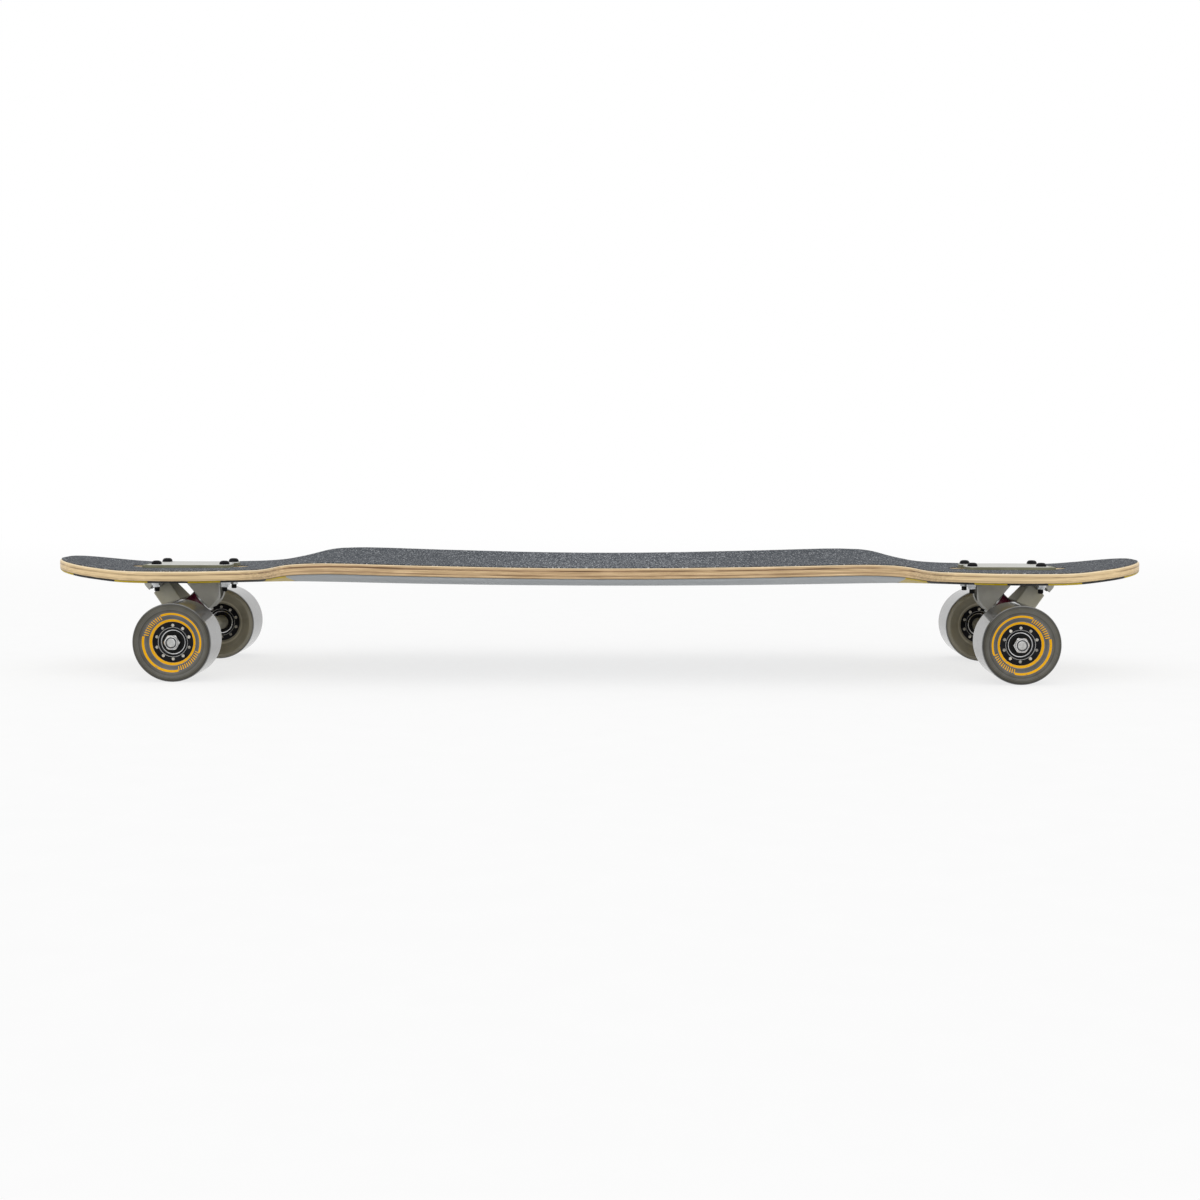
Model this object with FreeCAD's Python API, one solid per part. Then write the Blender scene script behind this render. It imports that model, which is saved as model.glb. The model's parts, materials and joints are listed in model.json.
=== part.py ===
import FreeCAD, Part
import math
import os
from FreeCAD import Placement, Rotation, Vector

# Longboard with drop-through trucks.
# Millimetres. +X forward, +Y left, +Z up. The ground is z = 0, under the middle of the board.

# Layout
wheelbase = 750.0
tread_radius = 35.0
flange_above_axle = 60.8
steer_angle = 50.0

# Deck
deck_thickness = 10.6
grip_thickness = 0.7
top_edge_radius = 1.6
bottom_edge_radius = 3.2

# Deck outline: corners of one quarter, placed from the axle, and the radius that rounds each
tip_overhang = 128.2
tip_half = 48.8
tip_radius = 52.0
nose_taper = 95.2
nose_radius = 120.0
neck_half = 76.0
neck_radius = 35.0
shoulder_setback = 101.5
shoulder_run = 42.5
shoulder_rise = 59.6
shoulder_radius = 25.0
waist_depth = 14.0
waist_radius = 1600.0

# Deck pressing: rocker along the board, concave across the platform, kick at the tips, pressed marks
rocker_depth = 4.6
bend_run = 57.0
pad_setback = 40.0
concave_radius = 640.0
concave_fade_run = 186.0
concave_overrun = 20.0
kick_height = 8.9
kick_clearance = 1.0
flange_bite = 0.1
washer_bite = 0.1

# Mounting bolts
bolt_spacing_x = 63.5
bolt_side_gap = 6.64
bolt_offset = 4.8
bolt_radius = 2.4
bolt_clearance = 0.2
bolt_tip = 3.9
bolt_tip_bevel = 0.5
bolt_head_radius = 4.7
bolt_head_height = 3.4
bolt_head_round = 2.8
bolt_socket_flats = 3.2
bolt_socket_depth = 1.7
bolt_nut_flats = 8.7
bolt_nut_height = 6.2
bolt_nut_collar = 1.9
bolt_washer_radius = 5.1
bolt_washer_thickness = 1.0
bolt_washer_gap = 0.2

# Thread and collar of every lock nut
thread_gap = 0.03
collar_setback = 0.45
collar_round = 0.6

# Baseplate, measured from the axle: inward and outward along the board
flange_inner_margin = 6.05
flange_outer_margin = 13.45
flange_side_margin = 6.86
flange_thickness = 3.0
flange_corner = 6.0
flange_bevel = 0.4
flange_slope_run = 6.6
flange_slope_foot = 0.6
body_half = 14.0
body_inward = 20.0
heel_rise = 10.0
heel_radius = 15.0
toe_radius = 2.0
cast_round = 1.2
web_outward = 42.0
web_depth = 5.5
boss_depth = 18.37
boss_wall = 4.45
boss_outward = 52.0

# Slot in the deck around the baseplate's body
slot_side_gap = 1.0
slot_inner_gap = 26.0
slot_outer_gap = 12.0

# Steering stack along the kingpin, measured from the steering axis
kingpin_along = 20.5
kingpin_radius = 4.76
kingpin_clearance = 0.1
kingpin_head_flats = 14.3
kingpin_head_height = 6.3
kingpin_seat_depth = 7.0
kingpin_head_clearance = 1.15
kingpin_tip = 1.6
kingpin_nut_flats = 14.3
kingpin_nut_height = 9.0
kingpin_nut_collar = 2.7
seat_offset = 21.3
seat_half = 11.0
bushing_radius = 12.0
bushing_round = 1.2
flat_washer_thickness = 1.6
cup_washer_thickness = 1.2
cup_washer_rim = 3.4
cup_washer_wall = 1.2
cup_washer_clearance = 0.4

# Hanger
hanger_half = 85.5
hanger_end_wall = 3.03
hanger_mid_radius = 11.5
hanger_mid_lift = 4.0
hanger_arm_radius = 9.5
hanger_arm_at = 38.0
hanger_arm_lift = 2.5
ring_radius = 16.5
ring_half = 5.5
ring_round = 1.0
ring_hole_radius = 8.0
seat_clearance = 0.6
gusset_reach = 52.0
gusset_half = 4.2
stem_top_half = 11.0
stem_foot_half = 20.0
stem_half_depth = 9.3
stem_lap = 3.5
neck_length = 3.0
neck_clearance = 2.0
pivot_radius = 6.0
pivot_depth = 10.5
pivot_nose_round = 3.6

# Pivot cup
cup_wall = 2.5
cup_running_gap = 0.05
cup_end_gap = 0.3
cup_floor = 1.8
cup_lip_thickness = 1.0
cup_lip_width = 2.0

# Axle stack along Y, from the hanger's end outward
axle_radius = 3.97
axle_tip = 0.5
axle_tip_bevel = 0.6
bore_gap = 0.03
speed_washer_thickness = 1.0
speed_washer_width = 1.9
spacer_length = 10.0
spacer_wall = 1.4
axle_nut_flats = 12.7
axle_nut_height = 8.0
axle_nut_collar = 2.4

# Bearings
bearing_radius = 11.0
bearing_width = 7.0
inner_ring_wall = 2.0
outer_ring_wall = 1.9
ball_sink = 0.434
ball_gap = 0.05
ball_count = 7
cage_low = 0.8
cage_gap = 0.15
cage_half_depth = 0.7
shield_thickness = 0.5
shield_inset = 0.25
shield_gap = 0.25
outer_ring_lip = 0.8

# Wheels
lip_radius = 3.6
lip_flat = 0.6
face_round = 1.2
dish_outer = 7.6
dish_inner = 16.0
core_wall = 7.2
core_inner_rim = 0.5
core_outer_rim = 1.9
core_shoulder = 1.2
hub_rim = 2.0
hub_recess = 0.4
hub_bevel = 0.4
key_hole_radius = 1.6
key_hole_offset = 4.0
key_hole_depth = 5.0
key_hole_count = 10

# Levels above the ground
axle_height = tread_radius
flange_level = axle_height + flange_above_axle
flange_top = flange_level + flange_thickness
pad_level = flange_level - grip_thickness + flange_bite
pad_bottom = pad_level - deck_thickness
nut_seat = pad_bottom + washer_bite
bolt_nut_top = nut_seat - bolt_washer_thickness
bolt_end = bolt_nut_top - bolt_nut_height - bolt_tip

# Places along the truck, outward from the axle
flange_inner = bolt_offset - bolt_spacing_x / 2 - flange_inner_margin
flange_outer = bolt_offset + bolt_spacing_x / 2 + flange_outer_margin
slot_inner = -body_inward - slot_inner_gap
slot_outer = boss_outward + slot_outer_gap

# Places across the truck
bolt_row_half = body_half + bolt_side_gap
flange_half = bolt_row_half + flange_side_margin
slot_half = body_half + slot_side_gap

# Places along the board
half_base = wheelbase / 2
deck_half = half_base + tip_overhang
nose_start = deck_half - nose_taper
shoulder_corner = half_base - shoulder_setback
neck_corner = shoulder_corner + shoulder_run
shoulder_half = neck_half + shoulder_rise
waist_half = shoulder_half - waist_depth
pad_start = half_base - pad_setback
bend_start = pad_start - bend_run
concave_end = half_base + concave_overrun
concave_fade_start = concave_end - concave_fade_run
kick_start = half_base + flange_outer + kick_clearance

# Places along the kingpin
bolt_hole_radius = bolt_radius + bolt_clearance
kingpin_hole_radius = kingpin_radius + kingpin_clearance
kingpin_pocket_radius = kingpin_head_flats / math.sqrt(3) + kingpin_head_clearance
kingpin_head_at = -seat_offset - kingpin_seat_depth
bushing_height = seat_offset - flat_washer_thickness - ring_half
cup_washer_at = ring_half + bushing_height
kingpin_nut_at = cup_washer_at + cup_washer_thickness
kingpin_end = kingpin_nut_at + kingpin_nut_height + kingpin_tip

# Places along the steering axis
flange_along = flange_above_axle / math.sin(math.radians(steer_angle))
boss_start = flange_along - boss_depth
stem_start = kingpin_along + ring_radius - stem_lap
pivot_neck = boss_start - cup_lip_thickness - neck_clearance
stem_end = pivot_neck - neck_length
pivot_end = boss_start + pivot_depth
cup_floor_at = pivot_end + cup_end_gap
cup_end = cup_floor_at + cup_floor
cup_radius = pivot_radius + cup_running_gap + cup_wall
boss_radius = cup_radius + boss_wall

# Places along the axle
inner_bearing_at = hanger_half + speed_washer_thickness
spacer_at = inner_bearing_at + bearing_width
outer_bearing_at = spacer_at + spacer_length
outer_washer_at = outer_bearing_at + bearing_width
axle_nut_at = outer_washer_at + speed_washer_thickness
axle_half = axle_nut_at + axle_nut_height + axle_tip
core_inner = inner_bearing_at - core_inner_rim
core_outer = outer_washer_at + core_outer_rim
lip_inner = core_inner - dish_inner
lip_outer = core_outer + dish_outer

# Radii about the axle
bore_radius = axle_radius + bore_gap
hanger_end_radius = axle_radius + hanger_end_wall
inner_ring_radius = bore_radius + inner_ring_wall
outer_ring_bore = bearing_radius - outer_ring_wall
shield_radius = bearing_radius - outer_ring_lip
hub_radius = bearing_radius + hub_rim
ball_circle = (bearing_radius + bore_radius) / 2
ball_radius = (outer_ring_bore - inner_ring_radius) / 2 + ball_sink
groove_radius = ball_radius + ball_gap
core_radius = bearing_radius + core_wall
key_hole_circle = bearing_radius + key_hole_offset
face_edge_radius = tread_radius - lip_radius - lip_flat

AXIS_X = Vector(1, 0, 0)
AXIS_Y = Vector(0, 1, 0)
AXIS_Z = Vector(0, 0, 1)

# Steering frame: x along the kingpin outward and down, z along the steering axis, origin at the axle's middle
steering_frame = Placement(Vector(0, 0, axle_height), Rotation(AXIS_Y, 90.0 - steer_angle))

# Truck frames: x outward from the board's middle, origin on the ground under the axle
truck_frames = {
    "front": Placement(Vector(half_base, 0, 0), Rotation()),
    "rear": Placement(Vector(-half_base, 0, 0), Rotation(AXIS_Z, 180)),
}


def placed(shape, frame):
    """Return a copy of the shape moved into a frame."""
    moved = shape.copy()
    moved.Placement = frame.multiply(moved.Placement)
    return moved


def rod(radius, start, end, axis, origin=Vector(0, 0, 0)):
    """Round bar along an axis between two distances from the origin."""
    return Part.makeCylinder(radius, end - start, origin + axis * start, axis)


def tube(outer, inner, start, end, axis, origin=Vector(0, 0, 0)):
    """Round tube along an axis between two distances from the origin."""
    return rod(outer, start, end, axis, origin).cut(rod(inner, start, end, axis, origin))


def rounded_wire(corners):
    """Closed wire of lines and tangent arcs from (point, radius) corners."""
    count = len(corners)
    joints = []
    for index in range(count):
        here, radius = corners[index]
        behind = (corners[index - 1][0] - here).normalize()
        ahead = (corners[(index + 1) % count][0] - here).normalize()
        half = behind.getAngle(ahead) / 2
        run = radius / math.tan(half)
        inward = (behind + ahead).normalize()
        middle = here + inward * (radius / math.sin(half) - radius)
        joints.append((here + behind * run, middle, here + ahead * run, radius))
    edges = []
    for index in range(count):
        first, middle, last, radius = joints[index]
        if radius > 0:
            edges.append(Part.Arc(first, middle, last).toShape())
        following = joints[(index + 1) % count][0]
        if last.distanceToPoint(following) > 1e-6:
            edges.append(Part.makeLine(last, following))
    return Part.Wire(edges)


def prism(corners, direction):
    """Solid swept straight from a rounded outline."""
    return Part.Face(rounded_wire(corners)).extrude(direction)


def rectangle(low_x, high_x, half_y, level, radius):
    """Corners of a rounded rectangle, for a wire or a prism."""
    places = [(low_x, -half_y), (high_x, -half_y), (high_x, half_y), (low_x, half_y)]
    return [(Vector(x, y, level), radius) for x, y in places]


def turned(corners):
    """Solid of revolution about Y from (radius, y, corner radius) points."""
    profile = [(Vector(radius, along, 0), corner) for radius, along, corner in corners]
    return Part.Face(rounded_wire(profile)).revolve(Vector(0, 0, 0), AXIS_Y, 360)


def far_along(edge, axis, origin, distance):
    """Tell whether an edge's middle lies at a distance along an axis."""
    return abs((edge.CenterOfMass - origin).dot(axis) - distance) < 1e-6


def edges_at(shape, axis, distance, origin=Vector(0, 0, 0)):
    """Edges of a shape whose middle lies at a distance along an axis."""
    return [edge for edge in shape.Edges if far_along(edge, axis, origin, distance)]


def hexagon(flats, start, end, axis, origin=Vector(0, 0, 0)):
    """Hexagonal bar along an axis, with its corners bevelled at both ends."""
    corner = flats / math.sqrt(3)
    bevel = corner - flats / 2
    points = []
    for index in range(7):
        turn = math.radians(60 * index)
        points.append(Vector(corner * math.cos(turn), corner * math.sin(turn), 0))
    height = end - start
    bar = Part.Face(Part.makePolygon(points)).extrude(AXIS_Z * height)
    round_bar = Part.makeCylinder(corner, height)
    round_bar = round_bar.makeChamfer(bevel * 0.7, round_bar.Edges)
    bar = bar.common(round_bar)
    return placed(bar, Placement(origin + axis * start, Rotation(AXIS_Z, axis)))


def lock_nut(flats, hole, start, height, collar_height, axis, origin=Vector(0, 0, 0)):
    """Hexagon nut with a round locking collar at its free end."""
    end = start + height
    hex_end = end - collar_height
    collar = rod(flats / 2 - collar_setback, hex_end, end, axis, origin)
    collar = collar.makeFillet(collar_round, edges_at(collar, axis, end, origin))
    nut = hexagon(flats, start, hex_end, axis, origin).fuse(collar)
    return nut.cut(rod(hole + thread_gap, start - 1, end + 1, axis, origin)).removeSplitter()


def ring_places(count, radius, along):
    """Points spaced evenly on a circle about the Y axis."""
    turns = [2 * math.pi * index / count for index in range(count)]
    return [Vector(radius * math.sin(turn), along, radius * math.cos(turn)) for turn in turns]


# Deck

def ease(value, low, high):
    """Smooth step from 0 at low to 1 at high."""
    part = min(max((value - low) / (high - low), 0.0), 1.0)
    return part ** 3 * (part * (6 * part - 15) + 10)


def rocker_dip(far):
    """Dip below the truck pads at a distance from the board's middle: two parabolas that meet at the bend."""
    if far < bend_start:
        return rocker_depth * (1 - far ** 2 / (bend_start * pad_start))
    return rocker_depth * max(0.0, pad_start - far) ** 2 / (bend_run * pad_start)


def deck_top(x, y):
    """Height of the pressed deck's top at a place on the board."""
    far = abs(x)
    centre = pad_level - rocker_dip(far)
    bow = y ** 2 / (2 * concave_radius) * (1 - ease(far, concave_fade_start, concave_end))
    kick = kick_height * max(0.0, (far - kick_start) / (deck_half - kick_start)) ** 1.5
    return centre + bow + kick


def pressed_face():
    """Pressed top surface of the ply blank, larger than the deck."""
    reach = deck_half + deck_thickness
    side = shoulder_half + deck_thickness
    rows = []
    for row in range(65):
        x = reach * (row / 32 - 1)
        rows.append([Vector(x, y, deck_top(x, y)) for y in [side * (step / 3 - 1) for step in range(7)]])
    surface = Part.BSplineSurface()
    surface.interpolate(rows)
    return surface.toShape()


def deck_outline():
    """Flat outline of the deck, the same at both ends and both sides."""
    quarter = [
        (deck_half, tip_half, tip_radius),
        (nose_start, neck_half, nose_radius),
        (neck_corner, neck_half, neck_radius),
        (shoulder_corner, shoulder_half, shoulder_radius),
    ]
    waist = [(0, waist_half, waist_radius)]
    left = quarter + waist + [(-x, y, radius) for x, y, radius in reversed(quarter)]
    right = [(-x, -y, radius) for x, y, radius in left]
    return rounded_wire([(Vector(x, y, 0), radius) for x, y, radius in left + right])


def bolt_places():
    """Mounting bolt places in a truck frame."""
    places = []
    for along in (-bolt_spacing_x / 2, bolt_spacing_x / 2):
        for across in (-bolt_row_half, bolt_row_half):
            places.append(Vector(bolt_offset + along, across, 0))
    return places


def bolt_holes():
    """Tools for one truck's bolt holes, from the ground up past the flange."""
    return [rod(bolt_hole_radius, 0, 2 * flange_top, AXIS_Z, place) for place in bolt_places()]


def at_trucks(tools):
    """Copies of one truck's tools at both trucks."""
    return [placed(tool, frame) for frame in truck_frames.values() for tool in tools]


def truck_openings():
    """Tools for the slot and bolt holes of both trucks."""
    slot = prism(rectangle(slot_inner, slot_outer, slot_half, 0, slot_half), AXIS_Z * 2 * flange_top)
    return at_trucks([slot] + bolt_holes())


def flange_seats():
    """Tools for the flat marks that both flanges press into the grip sheet."""
    outline = rectangle(flange_inner, flange_outer, flange_half, flange_level, flange_corner)
    return at_trucks([prism(outline, AXIS_Z * flange_top)])


def washer_seats():
    """Tools for the flat marks that the mounting washers press into the deck's underside."""
    radius = bolt_washer_radius + bolt_washer_gap
    return at_trucks([rod(radius, bolt_nut_top, nut_seat, AXIS_Z, place) for place in bolt_places()])


def rim_edges(board, depth):
    """Edges that run along a board's rim at a depth below its pressed top."""
    rim = []
    for edge in board.Edges:
        first, last = edge.ParameterRange
        points = [edge.valueAt(first + (last - first) * part) for part in (0.1, 0.5, 0.9)]
        depths = [deck_top(point.x, point.y) - point.z for point in points]
        if all(abs(found - depth) < top_edge_radius / 8 for found in depths):
            rim.append(edge)
    return rim


def make_deck():
    """Pressed ply deck with rounded edges, truck slots and bolt holes."""
    blank = pressed_face().extrude(Vector(0, 0, -deck_thickness))
    board = blank.common(Part.Face(deck_outline()).extrude(AXIS_Z * 2 * flange_top))
    board = board.makeFillet(bottom_edge_radius, rim_edges(board, deck_thickness))
    board = board.makeFillet(top_edge_radius, rim_edges(board, 0))
    return board.cut(truck_openings() + washer_seats())


def make_grip():
    """Grip sheet on the deck's top, just inside its rounded edge."""
    sheet = pressed_face().extrude(Vector(0, 0, grip_thickness))
    inset = Part.Face(deck_outline()).makeOffset2D(-top_edge_radius)
    return sheet.common(inset.extrude(AXIS_Z * 2 * flange_top)).cut(truck_openings() + flange_seats())


# Baseplate

def steering_point(along, out):
    """Point in a truck frame from distances along the steering axis and along the kingpin."""
    return steering_frame.multVec(Vector(out, 0, along))


def make_flange():
    """Baseplate flange that lies on the deck, sloped at its outer end."""
    outline = rectangle(flange_inner, flange_outer, flange_half, flange_level, flange_corner)
    flange = prism(outline, AXIS_Z * flange_thickness)
    flange = flange.makeChamfer(flange_bevel, edges_at(flange, AXIS_Z, flange_top))
    side = -flange_half - 1
    slope = [
        Vector(flange_outer - flange_slope_run, side, flange_top),
        Vector(flange_outer, side, flange_top),
        Vector(flange_outer, side, flange_level + flange_slope_foot),
    ]
    wedge = Part.Face(Part.makePolygon(slope + slope[:1])).extrude(AXIS_Y * -2 * side)
    return flange.cut(wedge)


def make_kingpin_block():
    """Baseplate body that hangs through the slot and carries the bushing seat."""
    tip = steering_point(kingpin_along - seat_half, -seat_offset)
    lean = math.radians(steer_angle)
    top = flange_level + flange_thickness / 2
    seat_top = tip.x + (top - tip.z) / math.tan(lean)
    outline = [
        (Vector(-body_inward, -body_half, top), 0),
        (Vector(-body_inward, -body_half, tip.z + heel_rise), heel_radius),
        (Vector(tip.x, -body_half, tip.z), toe_radius),
        (Vector(seat_top, -body_half, top), 0),
    ]
    block = prism(outline, AXIS_Y * 2 * body_half)
    sides = edges_at(block, AXIS_Y, body_half) + edges_at(block, AXIS_Y, -body_half)
    return block.makeFillet(cast_round, [edge for edge in sides if edge.CenterOfMass.z < top - 1e-6])


def make_web():
    """Baseplate rib under the flange, between the kingpin block and the pivot boss."""
    low = flange_level - web_depth
    high = flange_level + flange_thickness / 2
    return Part.makeBox(web_outward, 2 * body_half, high - low, Vector(0, -body_half, low))


def make_pivot_boss():
    """Round baseplate boss about the steering axis that holds the pivot cup."""
    boss = placed(rod(boss_radius, boss_start, flange_along + boss_radius, AXIS_Z), steering_frame)
    keep = Part.makeBox(boss_outward, 4 * boss_radius, flange_level + flange_thickness / 2)
    keep.translate(Vector(0, -2 * boss_radius, 0))
    return boss.common(keep)


def make_baseplate():
    """Cast baseplate: flange, kingpin block, rib, pivot boss and their holes."""
    body = make_flange().fuse([make_kingpin_block(), make_web(), make_pivot_boss()]).removeSplitter()
    origin = Vector(0, 0, kingpin_along)
    tools = [
        rod(kingpin_hole_radius, -flange_top, 0, AXIS_X, origin),
        rod(kingpin_pocket_radius, -flange_top, kingpin_head_at, AXIS_X, origin),
        rod(cup_radius, boss_start - 1, cup_end, AXIS_Z),
    ]
    return body.cut([placed(tool, steering_frame) for tool in tools] + bolt_holes())


def make_pivot_cup():
    """Soft cup in the baseplate that the hanger's pivot turns in."""
    cup = rod(cup_radius, boss_start, cup_end, AXIS_Z)
    lip_start = boss_start - cup_lip_thickness
    lip = rod(cup_radius + cup_lip_width, lip_start, boss_start, AXIS_Z)
    hollow = rod(pivot_radius + cup_running_gap, lip_start - 1, cup_floor_at, AXIS_Z)
    return placed(cup.fuse(lip).cut(hollow), steering_frame)


# Steering stack

def make_kingpin():
    """Hexagon-headed kingpin bolt."""
    origin = Vector(0, 0, kingpin_along)
    shank = rod(kingpin_radius, kingpin_head_at, kingpin_end, AXIS_X, origin)
    shank = shank.makeChamfer(kingpin_tip / 2, edges_at(shank, AXIS_X, kingpin_end, origin))
    head = hexagon(kingpin_head_flats, kingpin_head_at - kingpin_head_height, kingpin_head_at, AXIS_X, origin)
    return placed(head.fuse(shank), steering_frame)


def make_kingpin_nut():
    """Lock nut that holds the bushings on the kingpin."""
    sizes = (kingpin_nut_flats, kingpin_radius, kingpin_nut_at, kingpin_nut_height, kingpin_nut_collar)
    return placed(lock_nut(*sizes, AXIS_X, Vector(0, 0, kingpin_along)), steering_frame)


def make_bushing(start):
    """Barrel bushing on the kingpin, starting at a distance along it."""
    origin = Vector(0, 0, kingpin_along)
    end = start + bushing_height
    barrel = rod(bushing_radius, start, end, AXIS_X, origin)
    rims = edges_at(barrel, AXIS_X, start, origin) + edges_at(barrel, AXIS_X, end, origin)
    barrel = barrel.makeFillet(bushing_round, rims)
    hole = rod(kingpin_hole_radius, start - 1, end + 1, AXIS_X, origin)
    return placed(barrel.cut(hole), steering_frame)


def make_flat_washer():
    """Flat washer between the baseplate's seat and the board-side bushing."""
    start = -seat_offset
    end = start + flat_washer_thickness
    washer = tube(bushing_radius, kingpin_hole_radius, start, end, AXIS_X, Vector(0, 0, kingpin_along))
    return placed(washer, steering_frame)


def make_cup_washer():
    """Cup washer that holds the road-side bushing's outer end."""
    origin = Vector(0, 0, kingpin_along)
    inside = bushing_radius + cup_washer_clearance
    rim_start = kingpin_nut_at - cup_washer_rim
    cup = rod(inside + cup_washer_wall, rim_start, kingpin_nut_at, AXIS_X, origin)
    cup = cup.cut(rod(inside, rim_start - 1, cup_washer_at, AXIS_X, origin))
    hole = rod(kingpin_hole_radius, rim_start, kingpin_nut_at + 1, AXIS_X, origin)
    return placed(cup.cut(hole), steering_frame)


def make_mounting_bolts():
    """Domed socket-head bolts through the flange and the deck."""
    head_top = flange_top + bolt_head_height
    bolts = []
    for place in bolt_places():
        head = rod(bolt_head_radius, flange_top, head_top, AXIS_Z, place)
        head = head.makeFillet(bolt_head_round, edges_at(head, AXIS_Z, head_top))
        shank = rod(bolt_radius, bolt_end, flange_top, AXIS_Z, place)
        shank = shank.makeChamfer(bolt_tip_bevel, edges_at(shank, AXIS_Z, bolt_end))
        socket = hexagon(bolt_socket_flats, head_top - bolt_socket_depth, head_top + 1, AXIS_Z, place)
        bolts.append(head.fuse(shank).cut(socket))
    return Part.makeCompound(bolts)


def make_mounting_washers():
    """Washers between the deck's underside and the mounting nuts."""
    washers = []
    for place in bolt_places():
        washers.append(tube(bolt_washer_radius, bolt_hole_radius, bolt_nut_top, nut_seat, AXIS_Z, place))
    return Part.makeCompound(washers)


def make_mounting_nuts():
    """Lock nuts under the deck."""
    sizes = (bolt_nut_flats, bolt_radius, -bolt_nut_top, bolt_nut_height, bolt_nut_collar)
    return Part.makeCompound([lock_nut(*sizes, -AXIS_Z, place) for place in bolt_places()])


# Hanger

def make_beam():
    """Axle beam of the hanger, thick in the middle and tapering to its ends."""
    stations = [
        (-hanger_half, hanger_end_radius, 0),
        (-hanger_arm_at, hanger_arm_radius, hanger_arm_lift),
        (0, hanger_mid_radius, hanger_mid_lift),
        (hanger_arm_at, hanger_arm_radius, hanger_arm_lift),
        (hanger_half, hanger_end_radius, 0),
    ]
    circles = []
    for along, radius, lift in stations:
        circle = Part.makeCircle(radius, Vector(0, along, lift), AXIS_Y)
        circles.append(Part.Wire([circle]))
    return Part.makeLoft(circles, True)


def yoke(half_depth, low, low_half, high, high_half):
    """Flat tapered block about the steering axis between two distances along it."""
    outline = [
        (Vector(-half_depth, -low_half, low), 0),
        (Vector(-half_depth, low_half, low), 0),
        (Vector(-half_depth, high_half, high), 0),
        (Vector(-half_depth, -high_half, high), 0),
    ]
    return prism(outline, AXIS_X * 2 * half_depth)


def make_gusset():
    """Hanger web that joins the beam to the bushing ring and the stem's foot."""
    return yoke(gusset_half, 0, gusset_reach, stem_start, stem_foot_half)


def make_ring():
    """Hanger ring between the two bushings, with rounded rims."""
    origin = Vector(0, 0, kingpin_along)
    ring = rod(ring_radius, -ring_half, ring_half, AXIS_X, origin)
    rims = edges_at(ring, AXIS_X, -ring_half) + edges_at(ring, AXIS_X, ring_half)
    return ring.makeFillet(ring_round, rims)


def make_stem():
    """Hanger stem that reaches up to the baseplate and ends in the pivot pin."""
    stem = yoke(stem_half_depth, stem_start, stem_foot_half, stem_end, stem_top_half)
    stem = stem.makeFillet(cast_round, [edge for edge in stem.Edges if edge.CenterOfMass.z > stem_start + 1])
    neck_start = stem_end - cast_round
    neck_end = Vector(0, 0, neck_start)
    neck = Part.makeCone(stem_half_depth, pivot_radius, pivot_neck - neck_start, neck_end, AXIS_Z)
    pin = rod(pivot_radius, pivot_neck, pivot_end, AXIS_Z)
    pin = pin.makeFillet(pivot_nose_round, edges_at(pin, AXIS_Z, pivot_end))
    return stem.fuse([neck, pin])


def make_hanger():
    """Cast hanger: beam, gusset, bushing ring, stem and pivot pin."""
    body = make_beam().fuse([make_gusset(), make_ring(), make_stem()]).removeSplitter()
    origin = Vector(0, 0, kingpin_along)
    seat_radius = bushing_radius + seat_clearance
    reach = 2 * ring_radius
    tools = [
        rod(ring_hole_radius, -reach, reach, AXIS_X, origin),
        rod(seat_radius, ring_half, reach, AXIS_X, origin),
        rod(seat_radius, -reach, -ring_half, AXIS_X, origin),
        rod(axle_radius, -hanger_half - 1, hanger_half + 1, AXIS_Y),
    ]
    return placed(body.cut(tools), steering_frame)


# Axle stack. Shapes are made about the Y axis at the origin and lifted to the axle.

def at_axle(shape):
    """Lift a shape made about the Y axis to the axle's height."""
    return placed(shape, Placement(Vector(0, 0, axle_height), Rotation()))


def both_ends(shape):
    """A shape and its copy at the other end of the axle."""
    return [shape, placed(shape, Placement(Vector(0, 0, 0), Rotation(AXIS_Z, 180)))]


def make_axle():
    """Steel axle rod through the hanger."""
    axle = rod(axle_radius, -axle_half, axle_half, AXIS_Y)
    ends = edges_at(axle, AXIS_Y, -axle_half) + edges_at(axle, AXIS_Y, axle_half)
    return at_axle(axle.makeChamfer(axle_tip_bevel, ends))


def make_speed_washers():
    """Washers on both sides of each wheel's bearings."""
    washers = []
    for start in (hanger_half, outer_washer_at):
        end = start + speed_washer_thickness
        washers += both_ends(tube(bore_radius + speed_washer_width, bore_radius, start, end, AXIS_Y))
    return at_axle(Part.makeCompound(washers))


def make_spacers():
    """Tubes between the bearings of each wheel."""
    spacer = tube(bore_radius + spacer_wall, bore_radius, spacer_at, outer_bearing_at, AXIS_Y)
    return at_axle(Part.makeCompound(both_ends(spacer)))


def make_axle_nuts():
    """Lock nuts on the axle's ends."""
    nut = lock_nut(axle_nut_flats, axle_radius, axle_nut_at, axle_nut_height, axle_nut_collar, AXIS_Y)
    return at_axle(Part.makeCompound(both_ends(nut)))


def ball_groove(middle):
    """Tool for the groove that the balls of a bearing run in."""
    return Part.makeTorus(ball_circle, groove_radius, Vector(0, middle, 0), AXIS_Y)


def make_inner_rings():
    """Inner rings of the bearings, clamped on the axle."""
    rings = []
    for start in (inner_bearing_at, outer_bearing_at):
        ring = tube(inner_ring_radius, bore_radius, start, start + bearing_width, AXIS_Y)
        rings += both_ends(ring.cut(ball_groove(start + bearing_width / 2)))
    return at_axle(Part.makeCompound(rings))


# Wheel. Shapes are made for the wheel on the +Y side of the axle.

def make_tyre():
    """Urethane tyre with dished faces and rounded lips."""
    return turned([
        (core_radius, core_outer, 0),
        (face_edge_radius, lip_outer, face_round),
        (tread_radius, lip_outer, lip_radius),
        (tread_radius, lip_inner, lip_radius),
        (face_edge_radius, lip_inner, face_round),
        (core_radius, core_inner, 0),
    ])


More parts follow.
